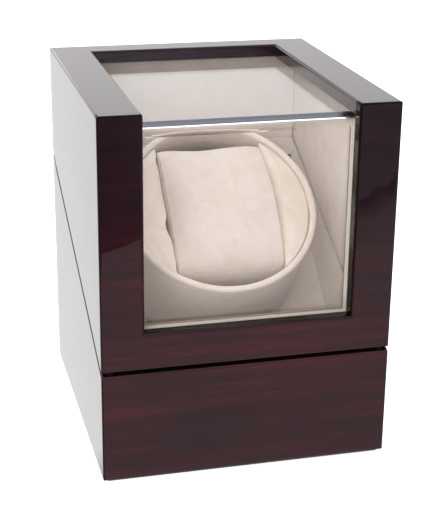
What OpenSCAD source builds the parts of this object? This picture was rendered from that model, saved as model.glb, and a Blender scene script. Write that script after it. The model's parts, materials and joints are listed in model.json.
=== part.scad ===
// Single watch winder box: a lacquered case split on a slant, a lid with a bent clear window,
// a suede-covered drum turning on a slanted panel, and the geared drive under that panel.
// Millimetres, +Z up, front towards -Y, origin under the middle of the object's box.
// Inside from_front() the front face of the case is y = 0 and the underside of the felt is z = 0.
// Inside on_drum() z runs out of the drum's mouth and z = 0 is the plane of its rim.

/* [Case] */
// Width of the case
case_w = 130; // [120:1:170]
// Depth of the case, without the hinge barrels
case_d = 140; // [134:1:180]
// Height of the case, with the felt
case_h = 165; // [158:1:210]
// Rounding of the outer edges
edge_r = 1.2; // [0.5:0.1:2]
// Thickness of the front boards
front_t = 6; // [4:0.5:8]
// Thickness of the side boards of the lid
side_t = 5; // [4:0.5:7]
// Thickness of the back board of the lid
back_t = 8.5; // [7:0.5:10]
// Thickness of the top frame
top_t = 6; // [4:0.5:8]
// Thickness of the bottom board
floor_t = 6; // [4:0.5:8]
// Thickness of the felt under the case
felt_t = 1; // [0.5:0.1:2]
// Distance of the felt from the outer faces
felt_inset = 2; // [1:0.5:6]

/* [Seam] */
// Height of the seam at the front face
seam_front = 51.5; // [42:0.5:62]
// Height of the seam at the back face
seam_back = 112; // [100:0.5:122]
// Open seam between base and lid, measured upright
seam_gap = 1.2; // [0.6:0.1:2]
// Rise of the lining lip over the seam at the front
lip_front = 0.2; // [0:0.1:6]
// Rise of the lining lip over the seam at the back
lip_back = 10.4; // [4:0.1:12]
// Height of the lining strip at the back of the base
back_strip_h = 9; // [6:0.5:12]
// Thickness of the lining boards in the base
lip_t = 1.2; // [0.8:0.1:2]
// Clearance between the lip and the side linings and front board of the lid
lip_clear = 0.3; // [0.2:0.05:0.6]
// Clearance between the lip and the back lining of the lid
lip_back_clear = 0.9; // [0.8:0.1:1.5]
// Radius of the bumpers between lid and base
bumper_r = 2; // [1:0.1:2.5]

/* [Window] */
// Width of each upright and top side rail
post_w = 19; // [14:0.5:24]
// Height of the front rail over the seam
rail_h = 17.8; // [12:0.2:24]
// Depth of the back rail of the top frame
back_rail = 14; // [11:0.5:24]
// Thickness of the clear sheet
pane_t = 3; // [2:0.5:4]
// Outer radius of the bend in the clear sheet
pane_bend = 5.5; // [5:0.5:9]
// Clearance round the clear sheet
pane_clear = 0.3; // [0.2:0.05:0.6]
// Strip of the sheet's retainer that shows inside the opening
retainer_show = 1.1; // [0.5:0.1:3]
// Thickness of the retainer
retainer_t = 1.5; // [1:0.1:3]
// Thickness of the lid's linings
lining_t = 1.8; // [1:0.1:2.5]
// Gap between the lip and the clear sheet with its retainer, measured upright
lip_pane_gap = 1.2; // [0.6:0.1:2]

/* [Drum] */
// Tilt of the drum's axis from upright
drum_tilt = 40.8; // [38:0.2:44]
// Middle of the drum's mouth behind the front face
mouth_y = 54.8; // [54:0.2:60]
// Middle of the drum's mouth over the felt
mouth_z = 106.5; // [104:0.5:110]
// Outer radius of the drum
drum_r = 45.3; // [42:0.1:46]
// Depth of the drum under its rim plane
drum_depth = 48; // [44:0.5:48]
// Thickness of the drum's shell
shell_t = 1.2; // [1:0.1:2]
// Thickness of the drum's floor
drum_floor_t = 2; // [1.5:0.1:3]
// Thickness of the suede sleeve
sleeve_t = 0.9; // [0.6:0.1:1.2]
// Height of the rolled rim over the shell
rim_rise = 1.5; // [1:0.1:3]
// Depth of the fillers under the rim plane
filler_drop = 0.8; // [0:0.1:4]
// Clearance between suede pieces
soft_clear = 0.3; // [0.2:0.05:0.6]

/* [Pillow] */
// Width of the pillow
pillow_w = 49.4; // [40:0.2:52]
// Length of the pillow across the drum
pillow_l = 66; // [54:0.5:67]
// Crown of the pillow over the rim plane
pillow_crown = 8; // [2:0.5:12]
// Radius of the pillow's rounded edges
pillow_edge = 12; // [8:0.5:16]
// Radius of the pillow's front curve
pillow_front_r = 70; // [50:1:120]

/* [Drive] */
// Distance of the slanted panel under the rim plane
panel_drop = 51.5; // [51:0.5:54]
// Thickness of the slanted panel
panel_t = 3; // [2:0.5:4]
// Radius of the drum's shaft
shaft_r = 3; // [2:0.5:3]
// Running clearance of shafts, per side
run_clear = 0.05; // [0.02:0.01:0.1]
// Teeth of the drum gear
drum_teeth = 48; // [40:1:50]
// Teeth of the idler's small gear
idler_small_teeth = 16; // [16:1:20]
// Tooth module of the drum stage
drum_module = 0.8; // [0.7:0.05:0.8]
// Teeth of the idler's large gear
idler_large_teeth = 48; // [40:1:48]
// Teeth of the motor pinion
motor_teeth = 16; // [16:1:18]
// Tooth module of the motor stage
motor_module = 0.6; // [0.5:0.05:0.6]
// Play between meshing teeth along the pitch circle
backlash = 0.16; // [0.1:0.02:0.3]
// Width of the drum gear's teeth
gear_face = 5; // [4:0.5:6]
// Direction from the drum gear to the idler, in degrees
idler_dir = -60; // [-70:1:-50]
// Direction from the idler to the motor, in degrees
motor_dir = 0; // [-5:1:10]
// Thickness of the steel carrier plate
plate_t = 2; // [1.5:0.5:3]
// Radius of the motor's gearbox
gearbox_r = 15.5; // [12:0.5:16]
// Length of the motor's gearbox
gearbox_l = 10; // [8:0.5:12]
// Radius of the motor can
can_r = 12; // [9:0.5:13]
// Length of the motor can
can_l = 16; // [10:0.5:17]
// Radius of the pillars that carry the plate
pillar_r = 3.5; // [2.5:0.5:4]

/* [Hinges] */
// Distance of each hinge from the middle
hinge_x = 38; // [25:1:45]
// Width of a hinge
hinge_w = 20; // [15:1:28]
// Height of a hinge leaf
leaf_h = 11; // [9:0.5:16]
// Thickness of a hinge leaf
leaf_t = 0.8; // [0.6:0.1:1.2]
// Radius of a hinge barrel
barrel_r = 1.8; // [1.5:0.1:2.4]
// Radius of a hinge pin
pin_r = 0.8; // [0.5:0.1:1]

/* [Controls] */
// Width of the control plate
control_w = 68; // [66:1:90]
// Height of the control plate
control_h = 26; // [24:1:32]
// Height of the middle of the control plate
control_z = 30; // [26:1:36]
// Thickness of the control plate
control_t = 1.5; // [1:0.1:2]
// Length of travel of the direction switch
direction_travel = 5; // [4:0.5:6]
// Length of travel of the program switch
program_travel = 7.5; // [5:0.5:8]
// Radius of the power inlet's bore
inlet_r = 2.75; // [2.5:0.05:3]
// Radius of the power inlet's centre pin
inlet_pin_r = 1.05; // [0.6:0.05:1.3]

/* [Hidden] */

$fn = 64;
arc_steps = 6;
touch = 0.02;
far = 400;

lacquer = [0.20, 0.07, 0.07];
suede = [0.88, 0.82, 0.76];
steel = [0.66, 0.67, 0.69];
brass = [0.80, 0.66, 0.36];
acetal = [0.93, 0.93, 0.90];
black = [0.08, 0.08, 0.09];

half_w = case_w / 2;
barrel_y = case_d + barrel_r + 0.1;
overall_d = barrel_y + barrel_r;
seam_slope = atan2(seam_back - seam_front, case_d);

// Inner faces: of the lid's boards and linings, then of the base's boards and linings
lid_side_x = half_w - side_t;
lid_back_y = case_d - back_t;
lid_top_z = case_h - top_t;
lining_x = lid_side_x - lining_t;
lining_back_y = lid_back_y - lining_t;
base_side_x = lining_x - lip_clear;
base_front_y = front_t + lip_clear;
base_back_y = lining_back_y - lip_back_clear;
base_floor_z = felt_t + floor_t;
lip_side_x = base_side_x - lip_t;
lip_front_y = base_front_y + lip_t;
lip_back_y = base_back_y - lip_t;

function seam_z(y) = seam_front + (seam_back - seam_front) * y / case_d;
function lip_z(y) = seam_z(y) + lip_front + (lip_back - lip_front) * y / case_d;

sill_z = seam_front + rail_h;
opening_x = half_w - post_w;
opening_back_y = case_d - back_rail;
pane_y = front_t + pane_t;
pane_z = lid_top_z - pane_t;
pane_bottom_z = lip_z(pane_y + retainer_t) + lip_pane_gap;
lining_top_z = pane_z - pane_clear;

// Levels along the drum's axis, from the rim plane down
shell_r = drum_r - sleeve_t;
shell_in_r = shell_r - shell_t;
sleeve_in_r = shell_in_r - sleeve_t;
drum_in_z = -(drum_depth - drum_floor_t);
hub_flange_r = 13;
hub_flange_t = 2;
bush_r = shaft_r + 2;
bush_flange_r = shaft_r + 5;
bush_flange_t = 1;
panel_under = -(panel_drop + panel_t);
bush_end = panel_under - 2.5;
gear_top = bush_end - 1;
gear_low = gear_top - gear_face;
wheel_face = 3;
wheel_top = gear_low - 0.5;
wheel_low = wheel_top - wheel_face;
plate_top = wheel_low - 1.5;
plate_low = plate_top - plate_t;
clip_t = 0.8;
shaft_end = plate_low - 3.5;
axle_clip_low = gear_top + 0.4;
shaft_clip_low = plate_low - 0.6 - clip_t;
rim_turn_in = 8;
hub_spigot_r = 3.9;
hub_screws_r = 9;
gearbox_end = plate_low - gearbox_l;
can_end = gearbox_end - can_l;

// Places of the drive's axes across the drum's axis
drum_stage = (drum_teeth + idler_small_teeth) * drum_module / 2;
motor_stage = (idler_large_teeth + motor_teeth) * motor_module / 2;
idler_at = drum_stage * [cos(idler_dir), sin(idler_dir)];
motor_at = idler_at + motor_stage * [cos(motor_dir), sin(motor_dir)];
drum_gear_tip = (drum_teeth / 2 + 1) * drum_module;
axle_r = 1.5;
output_r = 1.5;
screw_r = 1.5;
screw_head_r = 3;
screw_head_t = 1.8;
plate_screw_l = 8;
motor_screw_l = 5;
pillar_reach = drum_gear_tip + pillar_r + 1.5;
pillar_left = -pillar_reach * cos(40);
pillar_top = pillar_reach * sin(40);
pillar_right = motor_at[0] + (gearbox_r + screw_head_r + 1) * cos(45);
pillar_bottom = motor_at[1] - (gearbox_r + screw_head_r + 1) * sin(45);
pillars = [
    [pillar_left, pillar_top], [pillar_right, pillar_top],
    [pillar_left, pillar_bottom], [pillar_right, pillar_bottom],
];
plate_margin = 5.5;
pillar_spigot_r = 2;
pillar_spigot_l = 2;
cleat_w = 7;
cleat_front = -70;
cleat_back = 40;
motor_boss_r = 3.3;
motor_boss_h = 1.5;
motor_ear_r = screw_head_r + 0.4;
motor_ear_t = 2;
motor_ear = gearbox_r + motor_ear_r + 0.1;
motor_screws_at = [
    motor_at + motor_ear * [cos(60), sin(60)],
    motor_at + motor_ear * [cos(240), sin(240)],
];

// Hinges and flat-head screws
hinge_screw_r = 1;
hinge_screw_l = 5;
screw_hole_r = hinge_screw_r + 0.05;
flat_head_r = 1.85;
flat_head_t = 0.75;
flat_head_clear = 0.05;
knuckle = hinge_w / 3;
knuckle_gap = 0.15;
leaf_start = barrel_r + 0.3;

// Controls, from the outer face of the back board inwards
control_in_y = case_d - control_t;
control_screw_l = 5;
control_screw_in = 2.1;
window_w = control_w - 8;
window_h = control_h - 6;
board_t = 1.6;
switch_depth = 4.7;
board_y = control_in_y - switch_depth;
board_left = -window_w / 2 + 1;
board_right = 12;
board_h = window_h - 2;
direction_x = -16;
program_x = -4;
knob_w = 2.2;
knob_h = 2.4;
knob_proud = 2;
knob_clear = 0.3;
foot = 1.7;
foot_clear = 0.2;
switch_wall = 1.1;
inlet_x = 21;
inlet_barrel_r = inlet_r + 1.25;
inlet_flange_r = inlet_r + 2.75;
inlet_flange_t = 1;
inlet_l = 13;
inlet_depth = 9;
inlet_nut_r = 6;
inlet_nut_t = 1.8;

// Middle of each switch at rest, its travel to -X and its travel to +X
switches = [
    [direction_x, direction_travel / 2, direction_travel / 2],
    [program_x, 0, program_travel],
];
board_fixings = [board_left + 3, board_right - 3];

// ---------- plain helpers ----------

module from_front() {
    translate([0, -overall_d / 2, 0]) children();
}

module on_drum() {
    from_front() translate([0, mouth_y, mouth_z]) rotate([drum_tilt, 0, 0]) children();
}

module block(low, high) {
    translate(low) cube(high - low);
}

// A disc or rod between two heights
module rod(r, low, high) {
    translate([0, 0, low]) cylinder(r = r, h = high - low);
}

module along_x(low, high) {
    translate([low, 0, 0]) rotate([90, 0, 90]) linear_extrude(high - low) children();
}

module along_y(low, high) {
    translate([0, high, 0]) rotate([90, 0, 0]) linear_extrude(high - low) children();
}

// A rod along +Y whose low end is at y = low
module rod_y(r, low, high) {
    translate([0, low, 0]) rotate([-90, 0, 0]) cylinder(r = r, h = high - low);
}

module both_sides() {
    children();
    mirror([1, 0, 0]) children();
}

function unit(v) = v / norm(v);
function radius_at(r, i) = is_list(r) ? r[i] : r;

function arc(centre, r, first, turn) = [
    for (i = [0 : arc_steps]) let (a = first + turn * i / arc_steps) centre + r * [cos(a), sin(a)]
];

// The arc that rounds the corner at b between a and c, or the corner itself where r is 0
function corner_arc(a, b, c, r) = r == 0 ? [b] :
    let (
        to_a = unit(a - b),
        to_c = unit(c - b),
        half = acos(to_a * to_c) / 2,
        centre = b + unit(to_a + to_c) * r / sin(half),
        start = b + to_a * r / tan(half) - centre,
        first = atan2(start[1], start[0]),
        turn = 180 - 2 * half
    )
    arc(centre, r, first, turn);

// A convex counterclockwise outline with rounded corners
function softened(points, r) = let (n = len(points)) [
    for (i = [0 : n - 1])
        each corner_arc(points[(i + n - 1) % n], points[i], points[(i + 1) % n], radius_at(r, i))
];

// Section [across, outwards] of an opening from the level deep to the outer face, where its
// edges are rounded
function flared(low, high, deep, face, r) = concat(
    [[low, deep], [high, deep]],
    arc([high + r, face - r], r, 180, -90),
    [[high + r, face + 1], [low - r, face + 1]],
    arc([low - r, face - r], r, 90, -90)
);

function rectangle(low, high) = [low, [high[0], low[1]], high, [low[0], high[1]]];

// ---------- outer form of the case ----------

module upright_edges() {
    linear_extrude(far) polygon(softened(rectangle([-half_w, 0], [half_w, case_d]), edge_r));
}

// Rounds the edges that run up the slanted seam, over it (side 1) or under it (side -1)
module slanted_edges(start_z, side) {
    low = side > 0 ? 0 : -far;
    translate([0, 0, start_z]) rotate([seam_slope, 0, 0]) along_y(-far, far)
        polygon(softened(rectangle([-half_w, low], [half_w, low + far]), edge_r));
}

module base_form() {
    cut = -seam_gap / 2;
    side = [[0, felt_t], [case_d, felt_t], [case_d, seam_back + cut], [0, seam_front + cut]];
    intersection() {
        upright_edges();
        along_x(-half_w, half_w) polygon(softened(side, edge_r));
        slanted_edges(seam_front + cut, -1);
        along_y(0, case_d) polygon(softened(rectangle([-half_w, felt_t], [half_w, far]), edge_r));
    }
}

module lid_form() {
    cut = seam_gap / 2;
    side = [[0, seam_front + cut], [case_d, seam_back + cut], [case_d, case_h], [0, case_h]];
    intersection() {
        upright_edges();
        along_x(-half_w, half_w) polygon(softened(side, edge_r));
        slanted_edges(seam_front + cut, 1);
        along_y(0, case_d) polygon(softened(rectangle([-half_w, -far], [half_w, case_h]), edge_r));
    }
}

module base_board(low, high) {
    intersection() {
        base_form();
        block(low, high);
    }
}

module lid_board(low, high) {
    intersection() {
        lid_form();
        block(low, high);
    }
}

// ---------- base ----------

module base_front_panel() {
    color(lacquer) from_front() base_board([-half_w, 0, 0], [half_w, base_front_y, far]);
}

module base_left_panel() {
    color(lacquer) from_front()
        base_board([-half_w, base_front_y, 0], [-base_side_x, base_back_y, far]);
}

module base_right_panel() {
    color(lacquer) from_front()
        base_board([base_side_x, base_front_y, 0], [half_w, base_back_y, far]);
}

module base_back_panel() {
    color(lacquer) from_front() difference() {
        base_board([-half_w, base_back_y, 0], [half_w, case_d, far]);
        translate([0, 0, control_z]) {
            along_y(control_in_y, case_d + 1) control_outline(pane_clear / 2);
            block([-window_w / 2, 0, -window_h / 2], [window_w / 2, case_d, window_h / 2]);
        }
        control_screw_places() rod_y(screw_hole_r, control_in_y - control_screw_l - 1, case_d);
        hinge_screw_places(-1) rod_y(screw_hole_r, case_d - hinge_screw_l - 1, case_d + 1);
    }
}

module base_bottom_panel() {
    color(lacquer) from_front() block(
        [-base_side_x, base_front_y, felt_t],
        [base_side_x, base_back_y, base_floor_z]
    );
}

module base_felt() {
    color(black) from_front() linear_extrude(felt_t) polygon(softened(
        rectangle([-half_w + felt_inset, felt_inset], [half_w - felt_inset, case_d - felt_inset]),
        edge_r
    ));
}

module side_lining() {
    along_x(lip_side_x, base_side_x) polygon([
        [base_front_y, base_floor_z],
        [base_back_y, base_floor_z],
        [base_back_y, lip_z(base_back_y)],
        [base_front_y, lip_z(base_front_y)],
    ]);
}

module base_right_lining() {
    color(suede) from_front() side_lining();
}

module base_left_lining() {
    color(suede) from_front() mirror([1, 0, 0]) side_lining();
}

module base_front_lining() {
    color(suede) from_front() block(
        [-lip_side_x, base_front_y, base_floor_z],
        [lip_side_x, lip_front_y, lip_z(base_front_y)]
    );
}

// Strip over the slanted panel, whose top is the lip at the back
module base_back_lining() {
    top = lip_z(lip_back_y);
    color(suede) from_front()
        block([-lip_side_x, lip_back_y, top - back_strip_h], [lip_side_x, base_back_y, top]);
}

// ---------- slanted panel and drive ----------

module drum_panel() {
    color(suede) difference() {
        intersection() {
            on_drum() block([-lip_side_x, -far, panel_under], [lip_side_x, far, -panel_drop]);
            from_front()
                block([-far, lip_front_y, base_floor_z], [far, lip_back_y, case_h]);
        }
        on_drum() {
            rod(bush_r + run_clear, -far / 2, 0);
            for (at = pillars)
                translate(at)
                    rod(pillar_spigot_r + run_clear, panel_under - 1, panel_under + pillar_spigot_l);
        }
    }
}

module panel_cleats() {
    color("burlywood") both_sides() intersection() {
        on_drum() block(
            [lip_side_x - cleat_w, cleat_front, panel_under - cleat_w],
            [lip_side_x, cleat_back, panel_under]
        );
        from_front() block([0, lip_front_y, base_floor_z], [far, lip_back_y, case_h]);
    }
}

module panel_bush() {
    color(brass) on_drum() difference() {
        union() {
            rod(bush_r, bush_end, -panel_drop + bush_flange_t);
            rod(bush_flange_r, -panel_drop, -panel_drop + bush_flange_t);
        }
        rod(shaft_r + run_clear, -far, 0);
    }
}

module plate_pillars() {
    color(brass) on_drum() for (at = pillars) translate(at) difference() {
        union() {
            rod(pillar_r, plate_top, panel_under);
            rod(pillar_spigot_r, panel_under - 1, panel_under + pillar_spigot_l);
        }
        rod(screw_r + run_clear, plate_top - 1, plate_top + plate_screw_l);
    }
}

module plate_outline() {
    polygon(softened(rectangle(
        [pillar_left - plate_margin, pillar_bottom - plate_margin],
        [pillar_right + plate_margin, pillar_top + plate_margin]
    ), plate_margin));
}

module carrier_plate() {
    color(steel) on_drum() difference() {
        translate([0, 0, plate_low]) linear_extrude(plate_t) plate_outline();
        rod(bush_r + run_clear, -far, 0);
        translate(idler_at) rod(axle_r + touch, -far, 0);
        translate(motor_at) rod(motor_boss_r + run_clear, -far, 0);
        for (at = concat(pillars, motor_screws_at)) translate(at) rod(screw_r + run_clear, -far, 0);
    }
}

module plate_screws() {
    color(steel) on_drum() for (at = pillars) translate(at) pan_screw(plate_low, plate_screw_l);
}

// Cross slot of a screw, cut both ways from z = 0
module cross_slot(width, length, depth) {
    cube([width, length, 2 * depth], center = true);
    cube([length, width, 2 * depth], center = true);
}

// A pan-head screw whose head hangs under z = seat and whose shank goes up from it
module pan_screw(seat, length) {
    rod(screw_r, seat, seat + length);
    difference() {
        rod(screw_head_r, seat - screw_head_t, seat);
        translate([0, 0, seat - screw_head_t]) cross_slot(0.7, 4, 0.8);
    }
}

module plate_bush() {
    color(brass) on_drum() difference() {
        union() {
            rod(bush_r, plate_low, plate_top + 1);
            rod(bush_flange_r - 1, plate_top, plate_top + 1);
        }
        rod(shaft_r + run_clear, -far, 0);
    }
}

module idler_axle() {
    color(steel) on_drum() translate(idler_at) difference() {
        rod(axle_r, plate_low, panel_under - 0.4);
        clip_groove(axle_r, axle_clip_low);
    }
}

// Groove for a retaining clip that starts at z = low
module clip_groove(r, low) {
    difference() {
        rod(r + 1, low, low + clip_t + 0.1);
        rod(r - 0.4, low - 1, low + 2);
    }
}

// Open retaining clip between z = low + 0.05 and low + 0.05 + clip_t
module clip(r, low) {
    difference() {
        rod(r + 1.6, low + 0.05, low + 0.05 + clip_t);
        rod(r - 0.35, low - 1, low + 2);
        block([-0.8 * r, -3 * r, low - 1], [0.8 * r, 0, low + 2]);
    }
}

module axle_clip() {
    color(steel) on_drum() translate(idler_at) clip(axle_r, axle_clip_low);
}

module gear_motor() {
    cap_r = 4;
    cap_h = 1.5;
    tag_x = 6;
    tag = [1.2, 0.3, 3.5];
    flute_r = 1;
    color(steel) on_drum() translate(motor_at) difference() {
        union() {
            rod(gearbox_r, gearbox_end, plate_low);
            rod(motor_boss_r, gearbox_end, plate_low + motor_boss_h);
            rod(can_r, can_end, gearbox_end);
            rod(cap_r, can_end - cap_h, can_end);
            for (x = [-tag_x, tag_x])
                block([x - tag[0], -tag[1], can_end - tag[2]], [x + tag[0], tag[1], can_end + 1]);
            for (at = motor_screws_at) motor_ear_at(at - motor_at);
        }
        rod(output_r + run_clear, plate_low - 6, 0);
        for (at = motor_screws_at)
            translate(at - motor_at) rod(screw_r + run_clear, -far, 0);
        for (turn = [0 : 45 : 315])
            rotate(turn) translate([can_r + 0.6, 0, 0]) rod(flute_r, can_end + 4, gearbox_end - 3);
    }
}

// Fixing ear of the gearbox, from its wall out to the screw
module motor_ear_at(at) {
    arm = motor_ear_r - 0.8;
    low = plate_low - motor_ear_t;
    translate(at) rod(motor_ear_r, low, plate_low);
    rotate(atan2(at[1], at[0])) block([0, -arm, low], [norm(at), arm, plate_low]);
}

module motor_screws() {
    color(steel) on_drum() for (at = motor_screws_at)
        translate(at) pan_screw(plate_low - motor_ear_t, motor_screw_l);
}

// ---------- gears ----------

function involute_turn(base_r, r) = let (a = acos(min(1, base_r / r))) tan(a) * 180 / PI - a;

// Half of a tooth's angle at radius r; play is taken off along the pitch circle
function tooth_half(teeth, pitch_r, base_r, play, r) =
    90 / teeth - play / pitch_r * 45 / PI + involute_turn(base_r, pitch_r)
    - involute_turn(base_r, max(r, base_r));

function at_angle(r, a) = r * [cos(a), sin(a)];

// Outline of an involute spur gear with a tooth centred on +X
function gear_outline(teeth, size, play) =
    let (
        pitch_r = teeth * size / 2,
        base_r = pitch_r * cos(20),
        root_r = pitch_r - 1.25 * size,
        tip_r = pitch_r + size,
        first_r = max(base_r, root_r),
        flank = [for (i = [0 : 5]) first_r + (tip_r - first_r) * i / 5],
        radii = concat(root_r < base_r ? [root_r] : [], flank),
        last = len(radii) - 1
    )
    let (half = [for (r = radii) tooth_half(teeth, pitch_r, base_r, play, r)])
    [for (tooth = [0 : teeth - 1]) let (middle = 360 * tooth / teeth) each concat(
        [for (i = [0 : last]) at_angle(radii[i], middle - half[i])],
        [for (i = [last : -1 : 0]) at_angle(radii[i], middle + half[i])]
    )];

module gear(teeth, size, low, high, turn) {
    translate([0, 0, low]) rotate(turn) linear_extrude(high - low)
        polygon(gear_outline(teeth, size, backlash / 2));
}

module drum_gear() {
    spokes = 6;
    web_in = shaft_r + 5;
    web_out = drum_gear_tip - 4.2;
    color(acetal) on_drum() difference() {
        union() {
            gear(drum_teeth, drum_module, gear_low, gear_top, idler_dir);
            rod(shaft_r + 3, wheel_low, gear_top + 0.6);
        }
        rod(shaft_r + touch, -far, 0);
        for (i = [0 : spokes - 1]) rotate(360 * i / spokes)
            translate([(web_in + web_out) / 2, 0, 0]) rod((web_out - web_in) / 2, -far, 0);
    }
}

module idler_gear() {
    holes_at = 9.8;
    hole_r = 1.8;
    color(acetal) on_drum() translate(idler_at) difference() {
        union() {
            gear(
                idler_small_teeth, drum_module, wheel_top, gear_top,
                idler_dir + 180 + 180 / idler_small_teeth
            );
            gear(idler_large_teeth, motor_module, wheel_low, wheel_top, motor_dir);
            rod(axle_r + 2, wheel_low - 1.1, wheel_top);
        }
        rod(axle_r + run_clear, -far, 0);
        for (turn = [0 : 72 : 288])
            rotate(turn) translate([holes_at, 0, 0]) rod(hole_r, wheel_low - 1, wheel_top + 1);
    }
}

module motor_pinion() {
    color(brass) on_drum() translate(motor_at) {
        difference() {
            gear(
                motor_teeth, motor_module, wheel_low - 0.4, wheel_top + 0.4,
                motor_dir + 180 + 180 / motor_teeth
            );
            rod(output_r - 0.5, wheel_top - 1, 0);
        }
        rod(output_r, plate_low - 5, wheel_low);
    }
}

// ---------- drum ----------

module drum_shell() {
    color([0.85, 0.82, 0.78]) on_drum() difference() {
        rod(shell_r - touch, -drum_depth, 0);
        rod(shell_in_r, drum_in_z, 1);
        rod(hub_spigot_r + 0.1, -far, 0);
        shaft_screw_places() rod(screw_r + run_clear, -far, 0);
    }
}

// Suede sleeve: a tube outside the shell, rolled over its rim and a little way down inside
module drum_sleeve() {
    roll = (drum_r - sleeve_in_r) / 2;
    color(suede) on_drum() rotate_extrude($fn = 128) difference() {
        union() {
            translate([sleeve_in_r, -rim_turn_in])
                square([drum_r - sleeve_in_r, rim_turn_in + rim_rise - roll]);
            translate([shell_r, -drum_depth]) square([sleeve_t, drum_depth]);
            translate([(drum_r + sleeve_in_r) / 2, rim_rise - roll]) circle(roll);
        }
        translate([shell_in_r - touch, -far]) square([shell_t + touch, far]);
    }
}

// Padded segment that fills the drum beside the pillow
module drum_filler() {
    side = pillow_w / 2 + soft_clear;
    intersection() {
        rod(sleeve_in_r - soft_clear, drum_in_z, -filler_drop);
        block([side, -far, -far], [far, far, far]);
    }
}

module drum_right_filler() {
    color(suede) on_drum() drum_filler();
}

module drum_left_filler() {
    color(suede) on_drum() mirror([1, 0, 0]) drum_filler();
}

module shaft_screw_places() {
    for (turn = [90, 210, 330]) rotate(turn) translate([hub_screws_r, 0, 0]) children();
}

module drum_shaft() {
    color(steel) on_drum() difference() {
        union() {
            rod(hub_flange_r, -drum_depth - hub_flange_t, -drum_depth);
            rod(shaft_r, shaft_end, -drum_depth);
            rod(hub_spigot_r, -drum_depth, drum_in_z);
        }
        shaft_screw_places() rod(screw_r + run_clear, -far, 0);
        clip_groove(shaft_r, shaft_clip_low);
    }
}

module shaft_screws() {
    color(steel) on_drum() shaft_screw_places() mirror([0, 0, 1])
        pan_screw(-drum_in_z, drum_floor_t + hub_flange_t - 0.2);
}

module shaft_clip() {
    color(steel) on_drum() clip(shaft_r, shaft_clip_low);
}

// ---------- pillow ----------

// Section of the pillow across its width: a rounded block with a crowned front
module pillow_section() {
    low = drum_in_z + screw_head_t + 0.6;
    half = pillow_l / 2;
    intersection() {
        polygon(softened(rectangle([-half, low], [half, pillow_crown]), pillow_edge));
        translate([0, pillow_crown - pillow_front_r]) circle(pillow_front_r, $fn = 128);
    }
}

module pillow() {
    color(suede) on_drum() along_x(-pillow_w / 2, pillow_w / 2) pillow_section();
}

// ---------- lid ----------

module lid_left_side() {
    color(lacquer) from_front()
        lid_board([-half_w, front_t, 0], [-lid_side_x, lid_back_y, lid_top_z]);
}

module lid_right_side() {
    color(lacquer) from_front()
        lid_board([lid_side_x, front_t, 0], [half_w, lid_back_y, lid_top_z]);
}

module lid_back_panel() {
    color(lacquer) from_front() difference() {
        lid_board([-half_w, lid_back_y, 0], [half_w, case_d, lid_top_z]);
        hinge_screw_places(1) rod_y(screw_hole_r, case_d - hinge_screw_l - 1, case_d + 1);
    }
}

// Front half of the window opening: its sections across and upright, outwards is -Y
module front_opening() {
    deep = -front_t - 1;
    intersection() {
        linear_extrude(far) polygon([
            for (p = flared(-opening_x, opening_x, deep, 0, edge_r)) [p[0], -p[1]]
        ]);
        along_x(-half_w, half_w)
            polygon([for (p = flared(sill_z, far, deep, 0, edge_r)) [-p[1], p[0]]]);
    }
}

// Top half of the window opening
module top_opening() {
    deep = lid_top_z - 1;
    intersection() {
        along_y(-far, far) polygon(flared(-opening_x, opening_x, deep, case_h, edge_r));
        along_x(-half_w, half_w) polygon(flared(-far, opening_back_y, deep, case_h, edge_r));
    }
}

module lid_front_frame() {
    color(lacquer) from_front() difference() {
        lid_board([-half_w, 0, 0], [half_w, front_t, far]);
        front_opening();
        top_opening();
    }
}

module lid_top_frame() {
    color(lacquer) from_front() difference() {
        lid_board([-half_w, front_t, lid_top_z], [half_w, case_d, far]);
        top_opening();
    }
}

// A block whose upper front edge is rounded, from the front face and top given back and down
module bent_block(front, top, radius, reach, back, bottom) {
    union() {
        block([-reach, front + radius, bottom], [reach, back, top]);
        block([-reach, front, bottom], [reach, back, top - radius]);
        along_x(-reach, reach) translate([front + radius, top - radius]) circle(radius);
    }
}

module lid_window() {
    reach = lid_side_x - pane_clear;
    back = lid_back_y - pane_clear;
    color([0.8, 0.85, 0.9, 0.35]) from_front() difference() {
        bent_block(front_t, lid_top_z, pane_bend, reach, back, pane_bottom_z);
        bent_block(pane_y, pane_z, pane_bend - pane_t, far, far, -far);
    }
}

// U-shaped suede-covered strip that holds the window's front against the frame
module window_retainer() {
    reach = lining_x - soft_clear / 3;
    show_x = opening_x - retainer_show;
    top = pane_z - (pane_bend - pane_t) - pane_clear;
    color(suede) from_front() difference() {
        block([-reach, pane_y, pane_bottom_z], [reach, pane_y + retainer_t, top]);
        block([-show_x, 0, sill_z + retainer_show], [show_x, far, far]);
    }
}

// The linings of the lid run down behind the lip, as far as the lid's boards
module lid_side_lining() {
    front = pane_y;
    back = lid_back_y;
    edge = seam_gap / 2;
    along_x(lining_x, lid_side_x) polygon(softened(
        [
            [front, seam_z(front) + edge],
            [back, seam_z(back) + edge],
            [back, lining_top_z],
            [front, lining_top_z],
        ],
        [0, 0, 0, pane_bend]
    ));
}

module lid_right_lining() {
    color(suede) from_front() lid_side_lining();
}

module lid_left_lining() {
    color(suede) from_front() mirror([1, 0, 0]) lid_side_lining();
}

module lid_back_lining() {
    reach = lining_x - soft_clear;
    color(suede) from_front() block(
        [-reach, lining_back_y, seam_z(lid_back_y) + seam_gap / 2],
        [reach, lid_back_y, lining_top_z]
    );
}

module lid_bumpers() {
    gap = seam_gap * cos(seam_slope);
    color(black) from_front() both_sides()
        translate([half_w - 2 * bumper_r, 0, seam_front - seam_gap / 2]) rotate([seam_slope, 0, 0])
            translate([0, (front_t / 2) / cos(seam_slope), 0]) rod(bumper_r, touch, gap);
}

// ---------- hinges ----------

module hinge_places() {
    for (side = [-1, 1]) translate([side * hinge_x, 0, seam_back]) children();
}

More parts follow.
